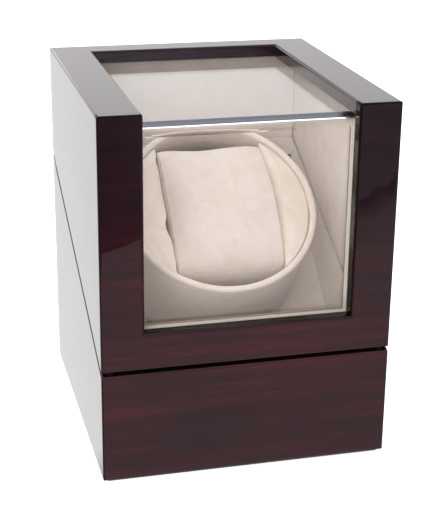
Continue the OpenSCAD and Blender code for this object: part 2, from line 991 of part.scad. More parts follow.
// The two screws of each leaf, under the seam (way -1) or over it (way 1)
module hinge_screw_places(way) {
    hinge_places() for (side = [-1, 1])
        translate([side * hinge_w / 4, 0, way * (leaf_start + leaf_h / 2 + 1)]) children();
}

// One leaf with the knuckles that start at the given shares of the hinge's width
module leaf(way, first_knuckles) {
    difference() {
        union() {
            mirror([0, 0, way > 0 ? 0 : 1]) block(
                [-hinge_w / 2, case_d, leaf_start],
                [hinge_w / 2, case_d + leaf_t, leaf_start + leaf_h]
            );
            for (first = first_knuckles) knuckle_at(way, first);
        }
        translate([-hinge_w, barrel_y, 0]) rotate([0, 90, 0])
            cylinder(r = pin_r + run_clear, h = 2 * hinge_w);
    }
}

module knuckle_at(way, first) {
    low = first * knuckle - hinge_w / 2 + (first > 0 ? knuckle_gap : 0);
    high = (first + 1) * knuckle - hinge_w / 2 - (first < 2 ? knuckle_gap : 0);
    translate([low, barrel_y, 0]) rotate([0, 90, 0]) cylinder(r = barrel_r, h = high - low);
    mirror([0, 0, way > 0 ? 0 : 1]) block([low, case_d + 0.1, 0], [high, case_d + leaf_t, leaf_start + 1]);
}

module hinge_base_leaves() {
    color(brass) from_front() difference() {
        hinge_places() leaf(-1, [0, 2]);
        hinge_screw_places(-1) countersink();
    }
}

module hinge_lid_leaves() {
    color(brass) from_front() difference() {
        hinge_places() leaf(1, [1]);
        hinge_screw_places(1) countersink();
    }
}

module hinge_pins() {
    color(brass) from_front() hinge_places() translate([-hinge_w / 2 - 0.4, barrel_y, 0])
        rotate([0, 90, 0]) cylinder(r = pin_r, h = hinge_w + 0.8);
}

module countersink() {
    rod_y(screw_hole_r, case_d - 1, case_d + 2);
    translate([0, case_d + leaf_t, 0]) rotate([90, 0, 0])
        cylinder(r1 = flat_head_r + flat_head_clear, r2 = screw_hole_r, h = leaf_t);
}

// A countersunk screw whose flat head ends at y = face
module flat_screw(face, length) {
    difference() {
        union() {
            rod_y(hinge_screw_r, face - length, face - 0.1);
            translate([0, face - touch, 0]) rotate([90, 0, 0])
                cylinder(r1 = flat_head_r, r2 = hinge_screw_r, h = flat_head_t);
        }
        translate([0, face, 0]) rotate([90, 0, 0]) cross_slot(0.5, 2.4, 0.4);
    }
}

module hinge_base_screws() {
    color(brass) from_front() hinge_screw_places(-1) flat_screw(case_d + leaf_t, hinge_screw_l);
}

module hinge_lid_screws() {
    color(brass) from_front() hinge_screw_places(1) flat_screw(case_d + leaf_t, hinge_screw_l);
}

// ---------- controls ----------

module control_outline(grow) {
    polygon(softened(rectangle(
        [-control_w / 2 - grow, -control_h / 2 - grow],
        [control_w / 2 + grow, control_h / 2 + grow]
    ), 2));
}

module control_screw_places() {
    for (side = [-1, 1]) translate([side * (control_w / 2 - control_screw_in), 0, control_z]) children();
}

module control_plate() {
    boss_r = 2.4;
    slot_x = knob_w / 2 + knob_clear;
    slot_z = knob_h / 2 + knob_clear;
    color(black) from_front() difference() {
        translate([0, 0, control_z]) difference() {
            union() {
                along_y(control_in_y, case_d) control_outline(0);
                for (x = board_fixings)
                    translate([x, 0, 0]) rod_y(boss_r, board_y, control_in_y);
            }
            for (slot = switches)
                block(
                    [slot[0] - slot[1] - slot_x, 0, -slot_z],
                    [slot[0] + slot[2] + slot_x, case_d + 1, slot_z]
                );
            translate([inlet_x, 0, 0]) rod_y(inlet_barrel_r + run_clear, 0, case_d + 1);
        }
        control_screw_places() {
            rod_y(screw_hole_r, 0, case_d + 1);
            translate([0, case_d, 0]) rotate([90, 0, 0])
                cylinder(r1 = flat_head_r + flat_head_clear, r2 = screw_hole_r, h = 0.8);
        }
    }
}

module control_screws() {
    color(steel) from_front() control_screw_places() flat_screw(case_d, control_screw_l);
}

module circuit_board() {
    color([0.10, 0.35, 0.18]) from_front() translate([0, 0, control_z])
        block([board_left, board_y - board_t, -board_h / 2], [board_right, board_y, board_h / 2]);
}

// On the board: its chip, the terminal block, a capacitor and the regulator
module board_parts() {
    back = board_y - board_t;
    color([0.15, 0.15, 0.16]) from_front() translate([0, 0, control_z]) {
        block([-20, back - 1.6, -3], [-12, back, 3]);
        block([-2, back - 5, -6.5], [4, back, -1.5]);
        translate([-6, 0, 4]) rod_y(2.5, back - 6, back);
        block([5, back - 1, 2], [8, back, 5]);
    }
}

// Two slide-switch housings between the board and the plate, each with a track for its slider
module switch_bodies() {
    track = foot + foot_clear;
    body = track + switch_wall;
    color(steel) from_front() translate([0, 0, control_z]) for (slot = switches) difference() {
        block(
            [slot[0] - slot[1] - body, board_y, -body],
            [slot[0] + slot[2] + body, control_in_y - 0.1, body]
        );
        block(
            [slot[0] - slot[1] - track, board_y + 1, -track],
            [slot[0] + slot[2] + track, control_in_y, track]
        );
    }
}

// Slider: a foot in the switch's track and a knob out through the plate
module slider(x) {
    from_front() translate([x, 0, control_z]) {
        block([-foot, board_y + 1 + foot_clear, -foot], [foot, board_y + 3, foot]);
        block([-knob_w / 2, board_y + 2, -knob_h / 2], [knob_w / 2, case_d + knob_proud, knob_h / 2]);
    }
}

module direction_slider() {
    color([0.85, 0.85, 0.85]) slider(direction_x);
}

module program_slider() {
    color([0.85, 0.85, 0.85]) slider(program_x);
}

module power_inlet() {
    face = case_d + inlet_flange_t;
    color(black) from_front() translate([inlet_x, 0, control_z]) {
        difference() {
            union() {
                rod_y(inlet_flange_r, case_d, face);
                rod_y(inlet_barrel_r, face - inlet_l, face);
            }
            rod_y(inlet_r, face - inlet_depth, face + 1);
        }
        rod_y(inlet_pin_r, face - inlet_depth - 1, face - 0.8);
    }
}

module inlet_nut() {
    color(steel) from_front() translate([inlet_x, 0, control_z]) difference() {
        translate([0, control_in_y - inlet_nut_t, 0]) rotate([-90, 0, 0])
            cylinder(r = inlet_nut_r, h = inlet_nut_t, $fn = 6);
        rod_y(inlet_barrel_r + run_clear, 0, case_d);
    }
}

base_front_panel();
base_left_panel();
base_right_panel();
base_back_panel();
base_bottom_panel();
base_felt();
base_left_lining();
base_right_lining();
base_front_lining();
base_back_lining();
drum_panel();
panel_cleats();
panel_bush();
plate_pillars();
carrier_plate();
plate_screws();
plate_bush();
idler_axle();
axle_clip();
gear_motor();
motor_screws();
control_plate();
control_screws();
circuit_board();
board_parts();
switch_bodies();
power_inlet();
inlet_nut();
hinge_base_leaves();
hinge_pins();
hinge_base_screws();
lid_left_side();
lid_right_side();
lid_back_panel();
lid_front_frame();
lid_top_frame();
lid_window();
window_retainer();
lid_left_lining();
lid_right_lining();
lid_back_lining();
lid_bumpers();
hinge_lid_leaves();
hinge_lid_screws();
drum_shell();
drum_sleeve();
drum_left_filler();
drum_right_filler();
drum_shaft();
shaft_screws();
drum_gear();
shaft_clip();
idler_gear();
motor_pinion();
pillow();
direction_slider();
program_slider();
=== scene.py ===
# Looks for the single watch winder box: finishes for its rigid parts, and its padded and
# cloth-covered parts as meshes of their own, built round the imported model.

import json
import math

import bmesh
import bpy
from bpy.props import (
    FloatProperty,
    FloatVectorProperty,
    IntProperty,
    PointerProperty,
)
from mathutils import Euler, Matrix, Vector, noise


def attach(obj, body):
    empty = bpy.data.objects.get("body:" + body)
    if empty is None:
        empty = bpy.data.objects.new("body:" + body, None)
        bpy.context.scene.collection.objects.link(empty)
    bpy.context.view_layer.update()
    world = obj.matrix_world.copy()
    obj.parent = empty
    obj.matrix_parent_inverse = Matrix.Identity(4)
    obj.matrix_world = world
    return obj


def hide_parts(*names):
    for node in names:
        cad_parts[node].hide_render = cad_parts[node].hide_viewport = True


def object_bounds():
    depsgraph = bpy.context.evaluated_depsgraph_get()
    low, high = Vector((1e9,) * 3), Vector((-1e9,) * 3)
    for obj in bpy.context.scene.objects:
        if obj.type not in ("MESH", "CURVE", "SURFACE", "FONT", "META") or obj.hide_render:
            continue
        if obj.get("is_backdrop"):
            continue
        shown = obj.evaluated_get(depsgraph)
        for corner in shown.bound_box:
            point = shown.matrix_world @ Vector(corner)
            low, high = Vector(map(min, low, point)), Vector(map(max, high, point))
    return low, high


bl_info = {
    "name": "Watch winder box",
    "version": (1, 0, 0),
    "blender": (4, 5, 0),
    "location": "3D view > Sidebar > Winder",
    "description": "Finishes and soft parts of a single watch winder box",
    "category": "Object",
}

MM = 0.001

# Sizes of the case in the part's frame, in mm, that the masks of the looks go by.
HALF_WIDTH = 65.0
HEIGHT = 165.0
DEPTH = 140.0
FRONT_Y = -71.85
SEAM_FRONT = 51.5
SEAM_BACK = 112.0
LIP_OVER_FRONT = 0.2
LIP_OVER_BACK = 10.4
OPENING_HALF_WIDTH = 46.6
OPENING_BACK_Y = 54.6
OPENING_SILL_Z = 69.1

# Edges sharper than this many degrees stay sharp.
SMOOTH_LIMIT = 40.0
# Corners closer than this are one corner.
WELD_REACH = 0.003 * MM

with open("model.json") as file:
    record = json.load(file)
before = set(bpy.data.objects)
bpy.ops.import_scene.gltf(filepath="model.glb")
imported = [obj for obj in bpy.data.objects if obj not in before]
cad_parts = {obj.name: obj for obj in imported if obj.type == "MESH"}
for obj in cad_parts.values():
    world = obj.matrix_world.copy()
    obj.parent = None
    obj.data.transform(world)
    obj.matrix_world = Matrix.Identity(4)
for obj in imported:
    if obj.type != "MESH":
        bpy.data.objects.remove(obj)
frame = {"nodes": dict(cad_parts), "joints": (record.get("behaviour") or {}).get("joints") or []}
cad_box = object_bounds()


# ---------- sizes and colours that a user would change ----------


def colour_property(name, description, default):
    return FloatVectorProperty(
        name=name,
        description=description,
        subtype="COLOR",
        size=3,
        min=0.0,
        max=1.0,
        default=default,
    )


def length_property(name, description, millimetres):
    return FloatProperty(
        name=name,
        description=description,
        unit="LENGTH",
        precision=5,
        default=millimetres * MM,
    )


class WINDER_PG_case(bpy.types.PropertyGroup):
    """Lacquered wood of the case."""

    ground: colour_property(
        "Wood", "Darkest tone of the stained wood", (0.0090, 0.0042, 0.0060)
    )
    streak: colour_property(
        "Grain", "Red-brown tone of the grain's streaks", (0.060, 0.0082, 0.0135)
    )
    streak_width: length_property("Grain width", "Height of one grain streak", 1.1)
    streak_length: length_property("Grain length", "Length of one streak", 26)
    gloss: FloatProperty(
        name="Gloss blur",
        description="Roughness of the polished lacquer",
        default=0.012,
        min=0.0,
        max=1.0,
    )


class WINDER_PG_suede(bpy.types.PropertyGroup):
    """Suede cloth on the drum, the pillow and the linings."""

    pillow: colour_property("Pillow", "Colour of the pillow", (0.77, 0.675, 0.63))
    segment: colour_property("Segments", "Colour of the segments", (0.84, 0.75, 0.665))
    sleeve: colour_property("Sleeve", "Colour of the drum's cloth", (0.81, 0.72, 0.655))
    lining: colour_property("Linings", "Colour of the linings", (0.80, 0.725, 0.685))
    panel: colour_property("Panel", "Colour of the slanted panel", (0.80, 0.715, 0.67))
    nap: length_property("Nap", "Size of one tuft of the nap", 0.55)


class WINDER_PG_pillow(bpy.types.PropertyGroup):
    """Padding of the pillow and of the segments beside it."""

    cell: length_property("Cell", "Cell size of the padded meshes", 1.4)
    pressure: FloatProperty(
        name="Pressure", description="Air pressure in the cloth", default=4.0
    )
    frames: IntProperty(
        name="Frames", description="Steps that the cloth is left to settle", default=20
    )
    swell: length_property("Swell", "Farthest that the cloth may move", 1.2)


class WINDER_PG_stage(bpy.types.PropertyGroup):
    """Camera, lamps and floor."""

    lens: FloatProperty(name="Lens", description="Focal length", default=92.63)
    azimuth: FloatProperty(
        name="Azimuth",
        description="Turn of the camera round the box",
        subtype="ANGLE",
        default=math.radians(-14.564),
    )
    elevation: FloatProperty(
        name="Elevation",
        description="Height angle of the camera",
        subtype="ANGLE",
        default=math.radians(20.431),
    )
    roll: FloatProperty(
        name="Roll",
        description="Tilt of the camera about its own axis",
        subtype="ANGLE",
        default=math.radians(0.732),
    )
    place: FloatVectorProperty(
        name="Place",
        description="Place of the camera",
        subtype="TRANSLATION",
        size=3,
        default=(-0.14596, -0.58053, 0.29683),
    )
    overhead: FloatProperty(
        name="Overhead", description="Power of the overhead lamp in watts", default=12.0
    )
    rear: FloatProperty(
        name="Rear", description="Power of each lamp at the back in watts", default=5.0
    )
    front: FloatProperty(
        name="Front", description="Power of the lamp at the front in watts", default=10.0
    )
    room: FloatProperty(
        name="Room", description="Light of the room on the object", default=0.78
    )


# ---------- material recipes ----------


class Term:
    """A socket in a material. Arithmetic on it adds Math nodes and gives another Term."""

    def __init__(self, finish, socket):
        self.finish = finish
        self.socket = socket

    def maths(self, operation, first, second):
        values = {0: first, 1: second}
        return self.finish.node("ShaderNodeMath", {"operation": operation}, values)

    def output(self, name):
        """An output of the same node, by its name or number."""
        return Term(self.finish, self.socket.node.outputs[name])

    def __add__(self, other):
        return self.maths("ADD", self, other)

    def __radd__(self, other):
        return self.maths("ADD", other, self)

    def __sub__(self, other):
        return self.maths("SUBTRACT", self, other)

    def __rsub__(self, other):
        return self.maths("SUBTRACT", other, self)

    def __mul__(self, other):
        return self.maths("MULTIPLY", self, other)

    def __rmul__(self, other):
        return self.maths("MULTIPLY", other, self)

    def __gt__(self, other):
        return self.maths("GREATER_THAN", self, other)

    def __lt__(self, other):
        return self.maths("LESS_THAN", self, other)

    def at_most(self, other):
        return self.maths("MINIMUM", self, other)

    def at_least(self, other):
        return self.maths("MAXIMUM", self, other)


class Finish:
    """A node tree being written: a material's or the world's."""

    def __init__(self, owner):
        self.owner = owner
        owner.use_nodes = True
        self.tree = owner.node_tree
        self.tree.nodes.clear()

    def node(self, kind, settings=None, sockets=None):
        """Adds a node, makes its settings, fills its sockets and gives its first output."""
        made = self.tree.nodes.new(kind)
        for name, value in (settings or {}).items():
            if name == "stops":
                self.set_stops(made.color_ramp, value)
            else:
                setattr(made, name, value)
        for name, value in (sockets or {}).items():
            target = made.inputs[name]
            if isinstance(value, Term):
                self.tree.links.new(value.socket, target)
            else:
                target.default_value = self.fitted(target, value)
        shown = [o for o in made.outputs if o.enabled]
        return Term(self, shown[0]) if shown else None

    def fitted(self, target, value):
        """A colour of three numbers with the fourth that its socket wants."""
        if target.type == "RGBA" and len(value) == 3:
            return (*value, 1.0)
        return value

    def set_stops(self, ramp, stops):
        while len(ramp.elements) < len(stops):
            ramp.elements.new(0.5)
        for element, (place, level) in zip(ramp.elements, stops):
            element.position = place
            element.color = (level, level, level, 1.0)

    def place(self):
        return self.node("ShaderNodeTexCoord").output("Object")

    def scaled(self, vector, scale):
        return self.node(
            "ShaderNodeMapping", {"vector_type": "POINT"}, {"Vector": vector, "Scale": scale}
        )

    def axes(self, vector):
        split = self.node("ShaderNodeSeparateXYZ", None, {"Vector": vector})
        return split.output("X"), split.output("Y"), split.output("Z")

    def grain(self, vector, scale, detail=2.0, roughness=0.5, distortion=0.0):
        """Noise from 0 to 1."""
        return self.node(
            "ShaderNodeTexNoise",
            {"noise_dimensions": "3D"},
            {
                "Vector": vector,
                "Scale": scale,
                "Detail": detail,
                "Roughness": roughness,
                "Distortion": distortion,
            },
        )

    def ramp(self, value, stops):
        """Grey levels between stops, as a value."""
        return self.node("ShaderNodeValToRGB", {"stops": stops}, {"Fac": value})

    def blend(self, share, first, second):
        """A colour between two colours."""
        sockets = {0: share, 6: first, 7: second}
        return self.node("ShaderNodeMix", {"data_type": "RGBA"}, sockets).output(2)

    def bump(self, height, strength, distance):
        return self.node(
            "ShaderNodeBump",
            None,
            {"Height": height, "Strength": strength, "Distance": distance},
        )

    def surface(self, sockets):
        return self.node("ShaderNodeBsdfPrincipled", None, sockets)

    def mixed(self, share, first, second):
        """A shader between two shaders."""
        return self.node("ShaderNodeMixShader", None, {0: share, 1: first, 2: second})

    def finish(self, surface):
        kind = "World" if isinstance(self.owner, bpy.types.World) else "Material"
        self.node(f"ShaderNodeOutput{kind}", None, {"Surface": surface})
        return self.owner


def material(name):
    return Finish(bpy.data.materials.new(name))


def give(obj, finish):
    """Puts one material on the whole of an object."""
    if not obj.data.materials:
        obj.data.materials.append(finish)
    for holder in obj.material_slots:
        holder.link = "OBJECT"
        holder.material = finish
    return obj


# ---------- masks: 1 where a place's coordinates lie so, otherwise 0 ----------


def nearer(coordinate, reach):
    """Within reach, in mm, of the origin on either side."""
    return (coordinate * coordinate) < (reach * MM) ** 2


def farther(coordinate, reach):
    """Beyond reach, in mm, from the origin on either side."""
    return (coordinate * coordinate) > (reach * MM) ** 2


def over_slant(y, z, front, back):
    """Height over a line that rises from the case's front, at front mm, to its back."""
    rise = (back - front) / DEPTH
    return z - (y - FRONT_Y * MM) * rise - front * MM


# ---------- finishes ----------

# Dull red that the grain takes as painted shade: inside the top opening and high on the lid's
# front.
PAINTED_SHADE_RED = (0.024, 0.0080, 0.0115)
# Near-black painted into the wood: painted shade in seams and recesses, and a painted dark
# reflection on rounded edges.
PAINTED_SHADE_BLACK = (0.0035, 0.0020, 0.0020)
# Brown painted into cloth as painted shade along gaps, creases and edges.
PAINTED_SHADE_BROWN = (0.10, 0.068, 0.050)
WHITE = (1.0, 1.0, 1.0)


def lacquered_wood(name, along, look, painted_shade=None, plain=None):
    """Glossy clear lacquer over dark straight-grained wood, with the grain along one axis.

    The fourth argument, a mask of (f, x, y, z), gives 1 where the wood is painted near-black
    without its gloss: painted shade in seams and recesses, and a painted dark reflection on
    rounded edges.
    plain(f, x, y, z) gives 1 where the grain loses its red."""
    f = material(name)
    width = 1.0 / look.streak_width
    length = 1.0 / look.streak_length
    scale = [width, width, width]
    scale[along] = length
    place = f.scaled(f.place(), scale)
    broad = f.grain(f.place(), 16.0, 2.0, 0.5, 0.4)
    patches = f.grain(place, 0.22, 2.0, 0.5, 0.3)
    streaks = f.grain(place, 1.0, 3.0, 0.6, 0.3)
    lines = f.grain(place, 2.6, 2.0, 0.6, 0.1)
    level = streaks * 0.35 + patches * 0.4 + broad * 0.25
    tone = f.ramp(level, [(0.36, 0.1), (0.5, 0.35), (0.64, 0.8)])
    pores = f.ramp(lines, [(0.32, 0.72), (0.52, 1.0)])
    spot = f.axes(f.place())
    red = tuple(look.streak)
    # Painted shade: the grain's red is dulled where this mask is 1.
    if plain:
        red = f.blend(plain(f, *spot), red, PAINTED_SHADE_RED)
    wood = f.blend(tone * pores, tuple(look.ground), red)
    coat = 1.0
    if painted_shade:
        # Painted shade: where the mask is 1 the wood is painted near-black and loses its coat.
        shade_share = painted_shade(f, *spot)
        wood = f.blend(shade_share, wood, PAINTED_SHADE_BLACK)
        coat = 1.0 - shade_share
    ripple = f.grain(f.place(), 45.0, 1.0, 0.4)
    orange_peel = f.bump(ripple, 0.02, 0.0004)
    shader = f.surface(
        {
            "Base Color": wood,
            "Roughness": look.gloss,
            "IOR": 1.5,
            "Specular IOR Level": 0.2,
            "Coat Weight": coat,
            "Coat Roughness": look.gloss,
            "Coat IOR": 1.5,
            "Normal": orange_peel,
        }
    )
    return f.finish(shader)


def suede(name, colour, nap, line=None):
    """Short-napped cloth: mottled, brushed here and there, and quite without gloss.

    line(f, x, y, z) gives 1 where the cloth is painted brown: painted shade at gaps, creases and
    edges."""
    shade = 0.16
    warm = 0.4
    f = material(name)
    place = f.place()
    tufts = f.grain(place, 1.0 / nap, 3.0, 0.6)
    brushed = f.grain(place, 0.09 / nap, 3.0, 0.55, 0.8)
    worn = f.grain(place, 0.02 / nap, 1.0, 0.5)
    level = tufts * 0.45 + brushed * 0.35 + worn * 0.2
    tone = f.ramp(level, [(0.34, 0.0), (0.5, 0.55), (0.66, 1.0)])
    dark = [c * (1.0 - shade * (1.0 + warm * i)) for i, c in enumerate(colour)]
    cloth = f.blend(tone, tuple(dark), tuple(colour))
    if line:
        # Painted shade: the line mask paints the cloth brown.
        cloth = f.blend(line(f, *f.axes(place)), cloth, PAINTED_SHADE_BROWN)
    weave = f.grain(place, 2.4 / nap, 2.0, 0.7)
    fuzz = f.bump(weave * 0.5 + tufts * 0.5, 0.35, nap * 0.35)
    shader = f.surface(
        {
            "Base Color": cloth,
            "Roughness": 0.96,
            "Specular IOR Level": 0.12,
            "Sheen Weight": 0.18,
            "Sheen Roughness": 0.55,
            "Normal": fuzz,
        }
    )
    return f.finish(shader)


def clear_acrylic():
    """Bent clear sheet. Lamps shine through it as through open air, with a small loss, and
    rays caught between its faces leave it with a painted blue-grey: a painted reflection along
    the bend."""
    most_bounces = 3.5
    f = material("clear_acrylic_sheet")
    glass = f.surface(
        {
            "Base Color": (0.985, 0.99, 0.99),
            "Roughness": 0.0,
            "IOR": 1.49,
            "Transmission Weight": 1.0,
        }
    )
    open_air = f.node("ShaderNodeBsdfTransparent", None, {"Color": (0.94, 0.94, 0.94)})
    path = f.node("ShaderNodeLightPath")
    straight = path.output("Is Shadow Ray").at_least(path.output("Is Diffuse Ray"))
    # Painted reflection: a set blue-grey for rays caught in the bend.
    bend_reflection_tint = f.node("ShaderNodeBsdfTransparent", None, {"Color": (0.33, 0.35, 0.43)})
    sheet = f.mixed(path.output("Ray Depth") > most_bounces, glass, bend_reflection_tint)
    return f.finish(f.mixed(straight, sheet, open_air))


def polished_metal(name, colour, roughness, brushed):
    """Metal with faint smudges and fine drawn lines."""
    f = material(name)
    place = f.place()
    smudge = f.grain(place, 180.0, 3.0, 0.6)
    lines = f.grain(f.scaled(place, (1.0, 14.0, 14.0)), 260.0, 2.0, 0.5)
    tint = f.blend(smudge, tuple(c * 0.86 for c in colour), tuple(colour))
    shader = f.surface(
        {
            "Base Color": tint,
            "Metallic": 1.0,
            "Roughness": roughness + smudge * 0.12 + lines * brushed,
            "Normal": f.bump(lines, 0.08 + brushed, 0.00005),
        }
    )
    return f.finish(shader)


def moulded_plastic(name, colour, roughness):
    """Moulded plastic with a fine spark-eroded texture."""
    grain_size = 0.3
    f = material(name)
    place = f.place()
    texture = f.grain(place, 1.0 / (grain_size * MM), 2.0, 0.6)
    cloud = f.grain(place, 60.0, 2.0, 0.5)
    tint = f.blend(cloud, tuple(c * 0.88 for c in colour), tuple(colour))
    shader = f.surface(
        {
            "Base Color": tint,
            "Roughness": roughness + cloud * 0.08,
            "Normal": f.bump(texture, 0.25, 0.00006),
        }
    )
    return f.finish(shader)


def black_felt():
    f = material("black_felt_pad")
    place = f.place()
    fibres = f.grain(place, 900.0, 4.0, 0.75, 1.5)
    tint = f.blend(fibres, (0.006, 0.006, 0.007), (0.035, 0.034, 0.036))
    shader = f.surface(
        {
            "Base Color": tint,
            "Roughness": 1.0,
            "Specular IOR Level": 0.1,
            "Sheen Weight": 0.3,
            "Normal": f.bump(fibres, 0.6, 0.0003),
        }
    )
    return f.finish(shader)


def bare_wood():
    f = material("pine_cleat")
    grain = f.grain(f.scaled(f.place(), (500.0, 60.0, 60.0)), 1.0, 4.0, 0.6, 0.4)
    tint = f.blend(grain, (0.42, 0.26, 0.13), (0.66, 0.47, 0.27))
    shader = f.surface(
        {"Base Color": tint, "Roughness": 0.72, "Normal": f.bump(grain, 0.3, 0.0002)}
    )
    return f.finish(shader)


def circuit_board():
    """Green solder resist with faint tracks under it."""
    f = material("green_circuit_board")
    cells = f.node(
        "ShaderNodeTexBrick",
        {"offset": 0.5},
        {"Vector": f.place(), "Scale": 260.0, "Mortar Size": 0.012},
    ).output("Fac")
    tint = f.blend(cells, (0.008, 0.10, 0.035), (0.03, 0.22, 0.08))
    shader = f.surface({"Base Color": tint, "Roughness": 0.32, "Coat Weight": 0.4})
    return f.finish(shader)


# ---------- meshes ----------


def joint_record(name):
    return next(j for j in frame["joints"] if j["name"] == name)


def drum_frame():
    """From the drum's own frame to the part's: z along its axis out of the mouth, x across."""
    spin = joint_record("drum_spin")
    z = Vector(spin["axis"]).normalized()
    x = Vector((1.0, 0.0, 0.0))
    y = z.cross(x)
    turn = Matrix((x, y, z)).transposed().to_4x4()
    return Matrix.Translation(Vector(spin["pos_m"])) @ turn


def new_object(name, mesh):
    obj = bpy.data.objects.new(name, mesh)
    bpy.context.scene.collection.objects.link(obj)
    return obj


def shade_smooth(mesh):
    for face in mesh.polygons:
        face.use_smooth = True


def smoothing_tree(name, limit):
    """Geometry nodes that weld split corners and smooth all but the edges past the limit."""
    tree = bpy.data.node_groups.new(name, "GeometryNodeTree")
    for way in ("INPUT", "OUTPUT"):
        tree.interface.new_socket("Geometry", in_out=way, socket_type="NodeSocketGeometry")
    nodes = tree.nodes
    links = tree.links
    entry = nodes.new("NodeGroupInput")
    weld = nodes.new("GeometryNodeMergeByDistance")
    weld.inputs["Distance"].default_value = WELD_REACH
    forget = nodes.new("GeometryNodeRemoveAttribute")
    forget.inputs["Name"].default_value = "custom_normal"
    faces = nodes.new("GeometryNodeSetShadeSmooth")
    faces.domain = "FACE"
    angle = nodes.new("GeometryNodeInputMeshEdgeAngle")
    sharp = nodes.new("FunctionNodeCompare")
    sharp.operation = "GREATER_THAN"
    sharp.inputs[1].default_value = limit
    edges = nodes.new("GeometryNodeSetShadeSmooth")
    edges.domain = "EDGE"
    edges.inputs["Shade Smooth"].default_value = False
    leave = nodes.new("NodeGroupOutput")
    links.new(entry.outputs[0], weld.inputs["Geometry"])
    links.new(weld.outputs["Geometry"], forget.inputs["Geometry"])
    links.new(forget.outputs["Geometry"], faces.inputs["Geometry"])
    links.new(faces.outputs["Geometry"], edges.inputs["Geometry"])
    links.new(angle.outputs["Unsigned Angle"], sharp.inputs[0])
    links.new(sharp.outputs["Result"], edges.inputs["Selection"])
    links.new(edges.outputs["Geometry"], leave.inputs[0])
    return tree


def soften(obj, bevel=0.0):
    """Smooth shading over rounded edges, after an optional small bevel of the sharp ones."""
    name = f"smooth_below_{SMOOTH_LIMIT:g}"
    if bevel:
        weld = obj.modifiers.new("weld", "WELD")
        weld.merge_threshold = WELD_REACH
        edge = obj.modifiers.new("rounded_edges", "BEVEL")
        edge.width = bevel
        edge.segments = 3
        edge.limit_method = "ANGLE"
        edge.angle_limit = math.radians(50.0)
        edge.harden_normals = False
    smooth = obj.modifiers.new("smooth", "NODES")
    smooth.node_group = bpy.data.node_groups.get(name) or smoothing_tree(
        name, math.radians(SMOOTH_LIMIT)
    )
    level = obj.modifiers.new("weighted_normals", "WEIGHTED_NORMAL")
    level.keep_sharp = True
    level.weight = 80
    return obj


def lathe(name, profile, steps, shift):
    """A closed ring of the profile's (radius, height) points.

    shift(turn, index) gives how far a point is moved outwards and upwards."""
    bm = bmesh.new()
    rings = []
    for k in range(steps):
        turn = 2.0 * math.pi * k / steps
        ring = []
        for i, (radius, height) in enumerate(profile):
            dr, dz = shift(turn, i)
            r = radius + dr
            ring.append(bm.verts.new((r * math.cos(turn), r * math.sin(turn), height + dz)))
        rings.append(ring)
    count = len(profile)
    for k in range(steps):
        here = rings[k]
        there = rings[(k + 1) % steps]
        for i in range(count):
            j = (i + 1) % count
            bm.faces.new((here[i], there[i], there[j], here[j]))
    bmesh.ops.recalc_face_normals(bm, faces=bm.faces)
    mesh = bpy.data.meshes.new(name)
    bm.to_mesh(mesh)
    bm.free()
    shade_smooth(mesh)
    return mesh


def evenly(points, cell):
    """The closed outline with its points about one cell apart."""
    out = []
    for first, second in zip(points, points[1:] + points[:1]):
        count = max(int(round((Vector(second) - Vector(first)).length / cell)), 1)
        out += [Vector(first).lerp(Vector(second), k / count) for k in range(count)]
    return out


def stuffed(name, outline, middle, rings, place):
    """A closed pad: rings of the outline, each drawn in by a length and then by a share.

    middle gives the point that an outline point is drawn towards, and place turns
    (first, second, level) into a point of the drum's frame. The first and last rings are
    closed with strips, each between two points and the two across the outline from them."""
    bm = bmesh.new()
    made = []
    for inset, share, level in rings:
        ring = []
        for point in outline:
            way = middle(point) - point
            reach = min(inset / way.length, 1.0)
            spot = point + way * (reach + (1.0 - reach) * share)
            ring.append(bm.verts.new(place(spot.x, spot.y, level)))
        made.append(ring)
    count = len(outline)
    for low, high in zip(made, made[1:]):
        for i in range(count):
            j = (i + 1) % count
            bm.faces.new((low[i], low[j], high[j], high[i]))
    for ring in (made[0], made[-1]):
        for i in range(count // 2):
            near = [ring[i], ring[i + 1]]
            far = [ring[count - i - 1], ring[(count - i) % count]]
            bm.faces.new(list(dict.fromkeys(near + far)))
    bmesh.ops.recalc_face_normals(bm, faces=bm.faces)
    mesh = bpy.data.meshes.new(name)
    bm.to_mesh(mesh)
    bm.free()
    mesh.transform(drum_frame() @ Matrix.Scale(MM, 4))
    shade_smooth(mesh)
    return new_object(name, mesh)


def rounding(radius, steps):
    """Insets and heights of a rounded edge, from its side to its top."""
    turns = [math.pi * 0.5 * k / steps for k in range(1, steps + 1)]
    return [(radius * (1.0 - math.cos(t)), radius * (1.0 - math.sin(t))) for t in turns]


def apply_modifier(obj, kind, settings):
    made = obj.modifiers.new(kind.lower(), kind)
    for name, value in settings.items():
        setattr(made, name, value)
    evaluated = obj.evaluated_get(bpy.context.evaluated_depsgraph_get())
    mesh = bpy.data.meshes.new_from_object(evaluated)
    old = obj.data
    obj.modifiers.remove(made)
    obj.data = mesh
    bpy.data.meshes.remove(old)


